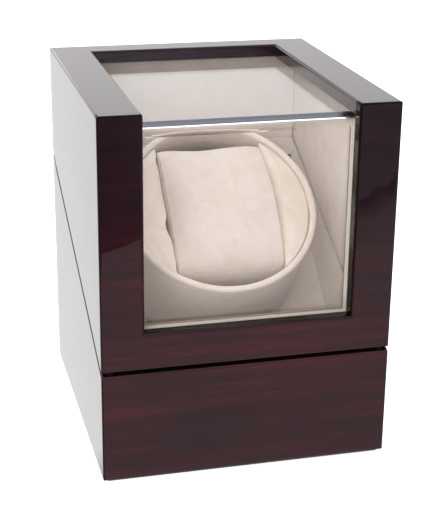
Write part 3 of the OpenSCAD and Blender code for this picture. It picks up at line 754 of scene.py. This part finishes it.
def swell(obj, look, hold):
    """Lets the cloth of a padded piece settle under pressure, smooths the moves over the
    mesh and limits them. hold(point) is 1 where the cloth is fixed."""
    start = [v.co.copy() for v in obj.data.vertices]
    group = obj.vertex_groups.new(name="held")
    for vertex in obj.data.vertices:
        share = hold(vertex.co)
        if share > 0.0:
            group.add([vertex.index], share, "REPLACE")
    cloth = obj.modifiers.new("cloth", "CLOTH")
    settings = cloth.settings
    settings.quality = 6
    settings.mass = 0.15
    settings.tension_stiffness = 18.0
    settings.compression_stiffness = 12.0
    settings.bending_stiffness = 0.4
    settings.use_pressure = True
    settings.uniform_pressure_force = look.pressure
    settings.effector_weights.gravity = 0.0
    settings.vertex_group_mass = "held"
    settings.pin_stiffness = 1.0
    cloth.collision_settings.use_collision = False
    cloth.collision_settings.use_self_collision = False
    scene = bpy.context.scene
    cloth.point_cache.frame_start = 1
    cloth.point_cache.frame_end = look.frames
    for step in range(1, look.frames + 1):
        scene.frame_set(step)
    evaluated = obj.evaluated_get(bpy.context.evaluated_depsgraph_get())
    moves = [v.co - before for v, before in zip(evaluated.data.vertices, start)]
    obj.modifiers.remove(cloth)
    obj.vertex_groups.remove(group)
    pairs = [tuple(edge.vertices) for edge in obj.data.edges]
    smoothings = 8
    for _ in range(smoothings):
        total = [move.copy() for move in moves]
        count = [1] * len(moves)
        for first, second in pairs:
            total[first] += moves[second]
            total[second] += moves[first]
            count[first] += 1
            count[second] += 1
        moves = [t / n for t, n in zip(total, count)]
    for vertex, before, move in zip(obj.data.vertices, start, moves):
        vertex.co = before + move * (look.swell / (look.swell + move.length))
    scene.frame_set(1)


def move_points(obj, change):
    """Puts each point of a mesh where change says, in the drum's frame."""
    out = drum_frame()
    back = out.inverted()
    for vertex in obj.data.vertices:
        vertex.co = out @ change(back @ vertex.co)
    obj.data.update()


# ---------- operators: one for each piece or group of like pieces ----------


class WINDER_OT_case(bpy.types.Operator):
    """Lacquer on the boards of the case"""

    bl_idname = "winder.case"
    bl_label = "Case boards"

    def execute(self, context):
        look = context.scene.winder_case
        across = lacquered_wood("mahogany_across", 0, look, self.seam)
        along = lacquered_wood("mahogany_along", 1, look, self.seam)
        top = lacquered_wood("mahogany_top", 1, look, plain=self.opening)
        front = lacquered_wood("mahogany_front", 0, look, self.seam_and_edges)
        surround = lacquered_wood(
            "mahogany_frame", 0, look, self.seam_and_recess, self.upper
        )
        boards = {
            "base_front_panel": front,
            "base_back_panel": across,
            "base_bottom_panel": across,
            "lid_front_frame": surround,
            "lid_back_panel": across,
            "base_left_panel": along,
            "base_right_panel": along,
            "lid_left_side": along,
            "lid_right_side": along,
            "lid_top_frame": top,
        }
        for name, finish in boards.items():
            soften(give(frame["nodes"][name], finish))
        return {"FINISHED"}

    def upper(self, f, x, y, z):
        """The upper part of the lid's front, where the grain's red is dulled as painted shade,
        leaving the lower front redder as if lit from the table.
        """
        return f.ramp(z, [(0.095, 0.0), (0.125, 1.0)])

    def opening(self, f, x, y, z):
        """The faces inside the opening of the top frame, where the grain's red is dulled as
        painted shade.
        """
        return nearer(x, OPENING_HALF_WIDTH) * (y < OPENING_BACK_Y * MM)

    def seam(self, f, x, y, z):
        """1 on the faces that look at each other across the slanted seam, painted black there as
        painted shade.
        """
        return nearer(over_slant(y, z, SEAM_FRONT, SEAM_BACK), 0.63)

    def seam_and_edges(self, f, x, y, z):
        """The seam, and the rounded edges round the front, painted black: painted shade in the
        seam and a painted dark reflection on the edges.
        """
        edge = 0.65
        outline = farther(x, HALF_WIDTH - edge).at_least(z > (HEIGHT - edge) * MM)
        return (outline * (y < (FRONT_Y + edge) * MM)).at_least(self.seam(f, x, y, z))

    def seam_and_recess(self, f, x, y, z):
        """The seam, the front's rounded edges and the faces inside the window opening, all
        painted black: painted shade in the seam and the opening, a painted dark reflection on
        the edges.
        """
        inside = nearer(x, OPENING_HALF_WIDTH) * (z > OPENING_SILL_Z * MM)
        return inside.at_least(self.seam_and_edges(f, x, y, z))


class WINDER_OT_felt(bpy.types.Operator):
    """Felt under the case and rubber bumpers in the seam"""

    bl_idname = "winder.felt"
    bl_label = "Felt and bumpers"

    def execute(self, context):
        give(frame["nodes"]["base_felt"], black_felt())
        rubber = moulded_plastic("rubber_bumper", (0.004, 0.004, 0.004), 0.95)
        give(frame["nodes"]["lid_bumpers"], rubber)
        return {"FINISHED"}


class WINDER_OT_window(bpy.types.Operator):
    """Bent clear sheet of the lid"""

    bl_idname = "winder.window"
    bl_label = "Window"

    def execute(self, context):
        give(frame["nodes"]["lid_window"], clear_acrylic())
        return {"FINISHED"}


class WINDER_OT_linings(bpy.types.Operator):
    """Cloth-covered linings, slanted panel and window strip"""

    bl_idname = "winder.linings"
    bl_label = "Linings"

    def execute(self, context):
        look = context.scene.winder_suede
        panel = suede("panel_suede", look.panel, look.nap)
        # Painted light: the lid's right lining and the base's linings are lighter copies of the
        # lining colour, standing in for light falling on them.
        lit_right_lining = tuple(c * 1.1 for c in look.lining)
        lit_base_linings = tuple(min(c * 1.2, 0.94) for c in look.lining)
        strip = (0.93, 0.85, 0.76)
        pieces = {
            "lid_left_lining": (look.lining, None),
            "lid_right_lining": (lit_right_lining, None),
            "lid_back_lining": (look.lining, self.corner),
            "base_left_lining": (lit_base_linings, self.lip),
            "base_right_lining": (lit_base_linings, self.lip),
            "base_front_lining": (lit_base_linings, None),
            "base_back_lining": (look.lining, None),
            "window_retainer": (strip, self.edge),
        }
        for name, (colour, line) in pieces.items():
            cloth = suede(name + "_suede", colour, look.nap, line=line)
            soften(give(frame["nodes"][name], cloth), 0.35 * MM)
        soften(give(frame["nodes"]["drum_panel"], panel), 0.5 * MM)
        return {"FINISHED"}

    def lip(self, f, x, y, z):
        """The upper edge of the linings in the base, painted brown as a painted shadow line at
        the gap above it.
        """
        front = SEAM_FRONT + LIP_OVER_FRONT
        height = over_slant(y, z, front, SEAM_BACK + LIP_OVER_BACK)
        return (height > -0.3 * MM) * 0.6

    def edge(self, f, x, y, z):
        """The top face of the strip below the window, painted brown as painted shade though
        lamps light it.
        """
        return nearer(x, 45.1) * (z > 69.95 * MM) * 0.8

    def corner(self, f, x, y, z):
        """The gap in the lid's two rear corners, painted brown on the back lining as painted
        shade.
        """
        return farther(x, 57.45) * (z < 122.0 * MM) * 0.8


class WINDER_OT_sleeve(bpy.types.Operator):
    """Suede sleeve of the drum with its rolled rim"""

    bl_idname = "winder.sleeve"
    bl_label = "Drum sleeve"

    steps: IntProperty(name="Steps", description="Steps round the drum", default=256)
    join: FloatProperty(
        name="Join",
        description="Where round the rim the cloth's ends meet",
        subtype="ANGLE",
        default=math.radians(-7.5),
    )

    def execute(self, context):
        look = context.scene.winder_suede
        outer = 45.3
        inner = 42.3
        wrap = 0.9
        depth = 48.0
        roll = (outer - inner) / 2.0
        middle = (outer + inner) / 2.0
        wall_points = 32
        roll_steps = 12
        lip_points = 9
        profile = [(outer, -depth + 1.5 * k) for k in range(wall_points)]
        for k in range(roll_steps + 1):
            turn = math.pi * k / roll_steps
            fall = max(-math.cos(turn), 0.0)
            height = roll * math.sin(turn) ** (0.75 - 0.35 * fall)
            profile.append((middle + roll * math.cos(turn), height))
        profile += [(inner, -1.0 * k) for k in range(1, lip_points)] + [(inner, -26.0)]
        profile += [(inner + 0.5, -26.0), (inner + wrap, -8.0), (inner + wrap, -0.25)]
        profile += [(outer - wrap, -0.25), (outer - wrap, -depth)]
        outer_side = wall_points + roll_steps + 1 + lip_points
        lap_start = wall_points + 4
        sag = 0.14

        def shift(turn, i):
            if i >= outer_side:
                return 0.0, 0.0
            r, z = profile[i]
            spot = Vector((math.cos(turn) * 3.2, math.sin(turn) * 3.2, z * 0.05))
            wave = noise.noise(spot) * sag
            fine = noise.noise(spot * 6.0) * sag * 0.35
            past = (turn - self.join) % (2.0 * math.pi)
            lap = math.exp(-past / 0.9) if i >= lap_start else 0.0
            return wave + fine - 0.08 - 0.25 * lap, 0.35 * lap + fine * 0.5

        mesh = lathe("drum_sleeve_cloth", profile, self.steps, shift)
        mesh.transform(drum_frame() @ Matrix.Scale(MM, 4))
        sleeve = new_object("drum_sleeve_cloth", mesh)
        give(sleeve, suede("sleeve_suede", look.sleeve, look.nap))
        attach(sleeve, "drum")
        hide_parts("drum_sleeve")
        inside = suede("drum_inside_flock", look.segment, look.nap)
        give(frame["nodes"]["drum_shell"], inside)
        return {"FINISHED"}


class WINDER_OT_segments(bpy.types.Operator):
    """Padded segments beside the pillow"""

    bl_idname = "winder.segments"
    bl_label = "Padded segments"

    gap_at: FloatProperty(
        name="Gap",
        description="Where the left segment stands off the pillow, in mm up the drum",
        default=-9.5,
    )

    def execute(self, context):
        look = context.scene.winder_suede
        cloth = suede("segment_suede", look.segment, look.nap)
        for side in ("left", "right"):
            self.make(context.scene.winder_pillow, side, cloth)
        return {"FINISHED"}

    def make(self, padding, side, cloth):
        node = f"drum_{side}_filler"
        sign = -1.0 if side == "left" else 1.0
        rim = 42.1
        chord = 24.95
        deep = 46.0
        tip = math.sqrt(rim * rim - chord * chord)
        half = 24
        ways = [tip * (k / half - 1.0) for k in range(2 * half + 1)]
        outline = [Vector((math.sqrt(rim * rim - way * way), way)) for way in ways]
        outline += [Vector((chord, way)) for way in reversed(ways[1:-1])]
        top = 0.15
        edge = 2.6
        rings = [(2.0, 0.7, -deep), (2.0, 0.3, -deep), (1.0, 0.0, -deep)]
        heights = [1.0 - deep] + [-deep + 3.0 * k for k in range(1, 14)] + [-4.5, -2.8]
        rings += [(0.0, 0.0, height) for height in heights]
        rings += [(inset, 0.0, top - 0.35 * drop) for inset, drop in rounding(edge, 5)]
        shares = [k / 7.0 for k in range(1, 7)]
        rings += [(edge, s, top + 0.8 * math.sin(math.pi * s / 2.0)) for s in shares]

        def middle(point):
            return Vector((31.5, point.y * 0.62))

        def place(across, along, level):
            return sign * across, along, level

        obj = stuffed(f"drum_{side}_segment", outline, middle, rings, place)
        back = drum_frame().inverted()
        swell(obj, padding, lambda co: 1.0 if (back @ co).z < -8.0 * MM else 0.0)
        openings = ()
        if side == "left":
            openings = ((self.gap_at, 4.4, 2.9), (26.0, 2.0, 1.0), (-31.0, 1.6, 0.9))

        def keep(co):
            """Keeps a point in the drum, and off the pillow where the segment stands open.

            Each opening has its middle along the chord, its reach and its width."""
            radius = math.hypot(co.x, co.y)
            if radius > rim * MM:
                co.x *= rim * MM / radius
                co.y *= rim * MM / radius
            near = min(max(1.0 - (abs(co.x) - chord * MM) / (4.0 * MM), 0.0), 1.0)
            edge_x = chord * MM
            for centre, reach, width in openings:
                bulge = math.exp(-(((co.y / MM - centre) / reach) ** 2))
                edge_x += width * MM * bulge * near if co.z > -9.0 * MM else 0.0
            co.x = math.copysign(max(abs(co.x), edge_x), co.x)
            soft = noise.noise(co / (13.0 * MM) + Vector((1.7, 5.1, 8.3)))
            if co.z > -1.0 * MM:
                co.z += 0.18 * soft * MM
            co.z = min(max(co.z, -deep * MM), 1.4 * MM)
            return co

        move_points(obj, keep)
        apply_modifier(obj, "SUBSURF", {"levels": 1})
        give(obj, cloth)
        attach(obj, "drum")
        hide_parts(node)


class WINDER_OT_pillow(bpy.types.Operator):
    """Watch pillow, swelled as cloth over its foam"""

    bl_idname = "winder.pillow"
    bl_label = "Pillow"

    def execute(self, context):
        look = context.scene.winder_suede
        padding = context.scene.winder_pillow
        half_w = 24.7
        half_l = 33.0
        front = 70.0
        crown = 7.7
        low = -43.0
        arc = [(v, crown - front + math.sqrt(front * front - v * v)) for v in range(-27, 31)]
        upper = [(31.3, 0.25), (32.3, -0.8), (32.85, -2.2), (half_l, -3.8)]
        back = [(half_l, -31.0), (31.4, -37.0), (27.0, -41.4), (21.0, low)]
        back += [(-v, w) for v, w in reversed(back)]
        lower = [(-half_l, -9.0), (-32.6, -5.6), (-31.7, -2.8), (-30.4, -0.4), (-28.8, 1.2)]
        outline = evenly(arc + upper + back + lower, padding.cell / MM)
        seam = 0.8
        levels = [(inset, 0.0, half_w - drop) for inset, drop in rounding(seam, 4)]
        ends = [(seam, share, half_w) for share in (0.8, 0.6, 0.4, 0.2, 0.08)] + levels[::-1]
        rows = [(0.0, 0.0, 22.5 - 1.5 * k) for k in range(31)]
        rings = ends + rows + [(a, b, -level) for a, b, level in reversed(ends)]

        def middle(point):
            x = min(max(point.x, -14.0), 14.0)
            return Vector((x, min(max(point.y, -28.0), -14.0)))

        def place(along, up, level):
            return level, along, up

        obj = stuffed("watch_pillow", outline, middle, rings, place)
        home = drum_frame().inverted()
        swell(obj, padding, lambda co: 1.0 if (home @ co).z < -30.0 * MM else 0.0)

        def crumple(co):
            """Gives the upper end its sag and the cloth its waves, sinks the face towards
            the sides and keeps the width."""
            u = co.x / (half_w * MM)
            v = co.y / (half_l * MM)
            depth = min(max((co.z + 20.0 * MM) / (20.0 * MM), 0.0), 1.0)
            spot = co / (16.0 * MM)
            wave = noise.noise(spot + Vector((3.1, 7.7, 1.3)))
            fine = noise.noise(spot * 3.0)
            top = max(v, 0.0) ** 2
            sag = math.exp(-(((u + 0.25) / 0.45) ** 2))
            co.y += depth * top * (0.25 * wave - 0.9 * sag) * MM
            co.y -= depth * 1.1 * (abs(u) * max(v, 0.0)) ** 9 * MM
            co.z += depth * (0.22 * wave + 0.08 * fine) * MM
            stands = 0.4 + 2.3 * min(max((co.y / MM + 9.0) / 20.0, 0.0), 1.0)
            rise = max(crown - (co.y / MM) ** 2 / (2.0 * front) - stands, 0.0)
            side = max(-u - 0.45, 0.0) / 0.55 + 0.25 * max(u - 0.45, 0.0) / 0.55
            co.z -= depth * rise * min(side, 1.0) ** 2.4 * MM
            widest = 24.85 * MM
            co.x = min(max(co.x, -widest), widest)
            return co

        move_points(obj, crumple)
        apply_modifier(obj, "SUBSURF", {"levels": 1})
        cloth = suede("pillow_suede", look.pillow, look.nap, line=self.crease_shade)
        give(obj, cloth)
        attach(obj, "pillow")
        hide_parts("pillow")
        return {"FINISHED"}

    def crease_shade(self, f, x, y, z):
        """Painted shade along the sewn edge of the pillow on its left, standing for the shadow
        in its crease; thin and here and there broken.
        """
        worn = f.grain(f.place(), 260.0, 2.0, 0.6)
        band = (x < -24.15 * MM) * (x > -24.6 * MM)
        return band * f.ramp(worn, [(0.35, 0.1), (0.6, 0.5)])


class WINDER_OT_drive(bpy.types.Operator):
    """Shaft, plate, motor and gears under the panel"""

    bl_idname = "winder.drive"
    bl_label = "Drive"

    def execute(self, context):
        steel = polished_metal("drawn_steel", (0.62, 0.62, 0.61), 0.22, 0.12)
        brass = polished_metal("turned_brass", (0.80, 0.58, 0.26), 0.2, 0.05)
        acetal = moulded_plastic("white_acetal_gear", (0.80, 0.80, 0.77), 0.38)
        finishes = {"steel": steel, "brass": brass, "white_acetal": acetal}
        members = {
            "steel": [
                "drum_shaft",
                "shaft_screws",
                "shaft_clip",
                "carrier_plate",
                "plate_screws",
                "idler_axle",
                "axle_clip",
                "gear_motor",
                "motor_screws",
            ],
            "brass": ["panel_bush", "plate_bush", "plate_pillars", "motor_pinion"],
            "white_acetal": ["drum_gear", "idler_gear"],
        }
        for slot, names in members.items():
            for name in names:
                give(frame["nodes"][name], finishes[slot])
        give(frame["nodes"]["panel_cleats"], bare_wood())
        return {"FINISHED"}


class WINDER_OT_hinges(bpy.types.Operator):
    """Brass hinges at the back"""

    bl_idname = "winder.hinges"
    bl_label = "Hinges"

    def execute(self, context):
        brass = polished_metal("hinge_brass", (0.78, 0.57, 0.27), 0.16, 0.04)
        worn = polished_metal("screw_brass", (0.52, 0.36, 0.16), 0.26, 0.04)
        for name, node in frame["nodes"].items():
            if name.startswith("hinge_"):
                give(node, worn if name.endswith("screws") else brass)
        return {"FINISHED"}


class WINDER_OT_controls(bpy.types.Operator):
    """Control plate, switches, inlet and circuit board"""

    bl_idname = "winder.controls"
    bl_label = "Controls"

    def execute(self, context):
        nodes = frame["nodes"]
        black = moulded_plastic("black_control_plastic", (0.018, 0.018, 0.02), 0.42)
        steel = polished_metal("plated_steel", (0.60, 0.60, 0.59), 0.25, 0.05)
        for name in (
            "control_plate",
            "power_inlet",
            "board_parts",
            "direction_slider",
            "program_slider",
        ):
            give(nodes[name], black)
        for name in ("control_screws", "inlet_nut", "switch_bodies"):
            give(nodes[name], steel)
        give(nodes["circuit_board"], circuit_board())
        return {"FINISHED"}


class WINDER_OT_stage(bpy.types.Operator):
    """Camera, lamps, floor and surroundings"""

    bl_idname = "winder.stage"
    bl_label = "Stage"

    def execute(self, context):
        look = context.scene.winder_stage
        context.scene.view_settings.view_transform = "Standard"
        self.make_camera(context, look)
        self.make_floor()
        self.make_surroundings(context, look)
        self.lamp("overhead", (0.0, 0.25, 1.25), 1.7, look.overhead)
        self.lamp("rear_left", (-1.3, 0.9, 0.6), 1.1, look.rear)
        self.lamp("rear_right", (1.3, 0.9, 0.6), 1.1, look.rear)
        self.lamp("front", (-0.6, -1.3, 0.66), 0.9, look.front)
        return {"FINISHED"}

    def make_camera(self, context, look):
        data = bpy.data.cameras.new("camera")
        data.lens = look.lens
        data.sensor_width = 36.0
        data.sensor_fit = "AUTO"
        data.clip_start = 0.01
        camera = bpy.data.objects.new("camera", data)
        context.scene.collection.objects.link(camera)
        tilt = Euler((math.pi / 2.0 - look.elevation, 0.0, look.azimuth)).to_matrix()
        turn = tilt @ Matrix.Rotation(look.roll, 3, "Z")
        camera.matrix_world = Matrix.Translation(look.place) @ turn.to_4x4()
        context.scene.camera = camera

    def lamp(self, name, place, size, power):
        """A square lamp that is aimed at the middle of the box and isn't mirrored in it."""
        target = Vector((0.0, 0.0, 0.1))
        data = bpy.data.lights.new(name, "AREA")
        data.shape = "SQUARE"
        data.size = size
        data.energy = power
        lamp = bpy.data.objects.new(name, data)
        lamp.visible_glossy = False
        bpy.context.scene.collection.objects.link(lamp)
        lamp.location = place
        aim = target - Vector(place)
        lamp.rotation_euler = aim.to_track_quat("-Z", "Y").to_euler()

    def make_floor(self):
        """White table. What the lacquer mirrors of it ends at a wavy edge in front of the box,
        and is dark beyond that; plain and shaded are two profiles across the edge, for the
        left and the right, and edge_share is where the edge lies along the front."""
        f = material("studio_table")
        path = f.node("ShaderNodeLightPath")
        x, y, _ = f.axes(f.place())
        edge_share = f.ramp(
            x * 3.125 + 0.15625,
            [
                (0.0, 0.03),
                (0.107, 0.184),
                (0.2, 0.319),
                (0.738, 0.609),
                (0.772, 0.682),
                (0.809, 0.771),
                (0.827, 0.734),
                (0.893, 0.909),
                (1.0, 1.0),
            ],
        )
        beyond = y + edge_share * 0.17 + 0.33
        behind = f.ramp(y * 2.0 + 0.8, [(0.64, 0.0), (0.72, 1.0)])
        rising = beyond * 4.0 + 0.4
        plain = f.ramp(rising, [(0.0, 0.0), (0.4, 0.0), (0.408, 0.34), (0.9, 0.38)])
        shaded = f.ramp(
            rising,
            [
                (0.0, 0.17),
                (0.397, 0.17),
                (0.403, 0.01),
                (0.46, 0.05),
                (0.56, 0.27),
                (0.8, 0.38),
            ],
        )
        side = f.ramp(x * 4.0, [(0.1, 0.0), (0.6, 1.0)])
        near = plain + (shaded - plain) * side + behind * 0.62
        card = f.surface(
            {"Base Color": (0.78, 0.78, 0.78), "Roughness": 1.0, "Specular IOR Level": 0.0}
        )
        glow = self.light(f, "ShaderNodeEmission", WHITE, 0.72)
        seen = f.node("ShaderNodeAddShader", None, {0: card, 1: glow})
        mirror_tone = f.blend(near, (0.04, 0.04, 0.045), (0.95, 0.95, 0.95))
        mirrored = self.light(f, "ShaderNodeEmission", mirror_tone, 1.0)
        through = path.output("Is Transmission Ray")
        lit = f.mixed(path.output("Is Camera Ray").at_least(through), card, seen)
        shader = f.mixed(path.output("Is Glossy Ray") * (1.0 - through), lit, mirrored)
        bpy.ops.mesh.primitive_plane_add(size=6.0, location=(0.0, 0.0, 0.0))
        floor = bpy.context.object
        floor.name = "studio_table"
        give(floor, f.finish(shader))
        floor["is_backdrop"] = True

    def light(self, f, kind, colour, strength):
        return f.node(kind, None, {"Color": colour, "Strength": strength})

    def make_surroundings(self, context, look):
        """White to the camera, a soft room to the object, and to the lacquer a pale wall
        behind the box and above it."""
        world = bpy.data.worlds.new("studio")
        context.scene.world = world
        f = Finish(world)
        path = f.node("ShaderNodeLightPath")
        x, y, z = f.axes(f.node("ShaderNodeTexCoord").output("Generated"))
        rear = f.ramp(y * 0.5 + 0.5, [(0.42, 0.0), (0.6, 1.0)])
        low = f.ramp(z, [(0.35, 1.0), (0.8, 0.25)])
        above = f.ramp(z, [(0.05, 0.0), (0.3, 0.42)])
        share = (rear * low).at_least(above) * f.ramp(x, [(0.2, 1.0), (0.42, 0.84)])
        mirror_tone = f.blend(share, (0.085, 0.09, 0.11), WHITE)
        seen = path.output("Is Camera Ray") + path.output("Is Transmission Ray")
        white = self.light(f, "ShaderNodeBackground", WHITE, 1.0)
        soft = self.light(f, "ShaderNodeBackground", WHITE, look.room)
        mirrored = self.light(f, "ShaderNodeBackground", mirror_tone, 0.88)
        lit = f.mixed(path.output("Is Glossy Ray"), soft, mirrored)
        f.finish(f.mixed(seen.at_most(1.0), lit, white))


class WINDER_PT_panel(bpy.types.Panel):
    """Sidebar panel that lists the settings and the steps"""

    bl_label = "Watch winder box"
    bl_idname = "WINDER_PT_panel"
    bl_space_type = "VIEW_3D"
    bl_region_type = "UI"
    bl_category = "Winder"

    def draw(self, context):
        for group in GROUPS:
            box = self.layout.box()
            box.label(text=group[len("winder_") :].capitalize())
            settings = getattr(context.scene, group)
            for name in settings.__annotations__:
                box.prop(settings, name)
        for step in STEPS:
            self.layout.operator(step.bl_idname)


GROUPS = {
    "winder_case": WINDER_PG_case,
    "winder_suede": WINDER_PG_suede,
    "winder_pillow": WINDER_PG_pillow,
    "winder_stage": WINDER_PG_stage,
}

STEPS = (
    WINDER_OT_case,
    WINDER_OT_felt,
    WINDER_OT_window,
    WINDER_OT_linings,
    WINDER_OT_sleeve,
    WINDER_OT_segments,
    WINDER_OT_pillow,
    WINDER_OT_drive,
    WINDER_OT_hinges,
    WINDER_OT_controls,
    WINDER_OT_stage,
)


def register():
    for group in GROUPS.values():
        bpy.utils.register_class(group)
    for step in STEPS:
        bpy.utils.register_class(step)
    bpy.utils.register_class(WINDER_PT_panel)
    for name, group in GROUPS.items():
        setattr(bpy.types.Scene, name, PointerProperty(type=group))


def unregister():
    for name in GROUPS:
        delattr(bpy.types.Scene, name)
    bpy.utils.unregister_class(WINDER_PT_panel)
    for step in reversed(STEPS):
        bpy.utils.unregister_class(step)
    for group in reversed(list(GROUPS.values())):
        bpy.utils.unregister_class(group)


def plain(box):
    return [[float(x) for x in corner] for corner in box]


def main():
    register()
    for step in STEPS:
        module, name = step.bl_idname.split(".")
        getattr(getattr(bpy.ops, module), name)()
    sizes = {"cad": plain(cad_box), "visual": plain(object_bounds())}


if __name__ == "__main__":
    main()
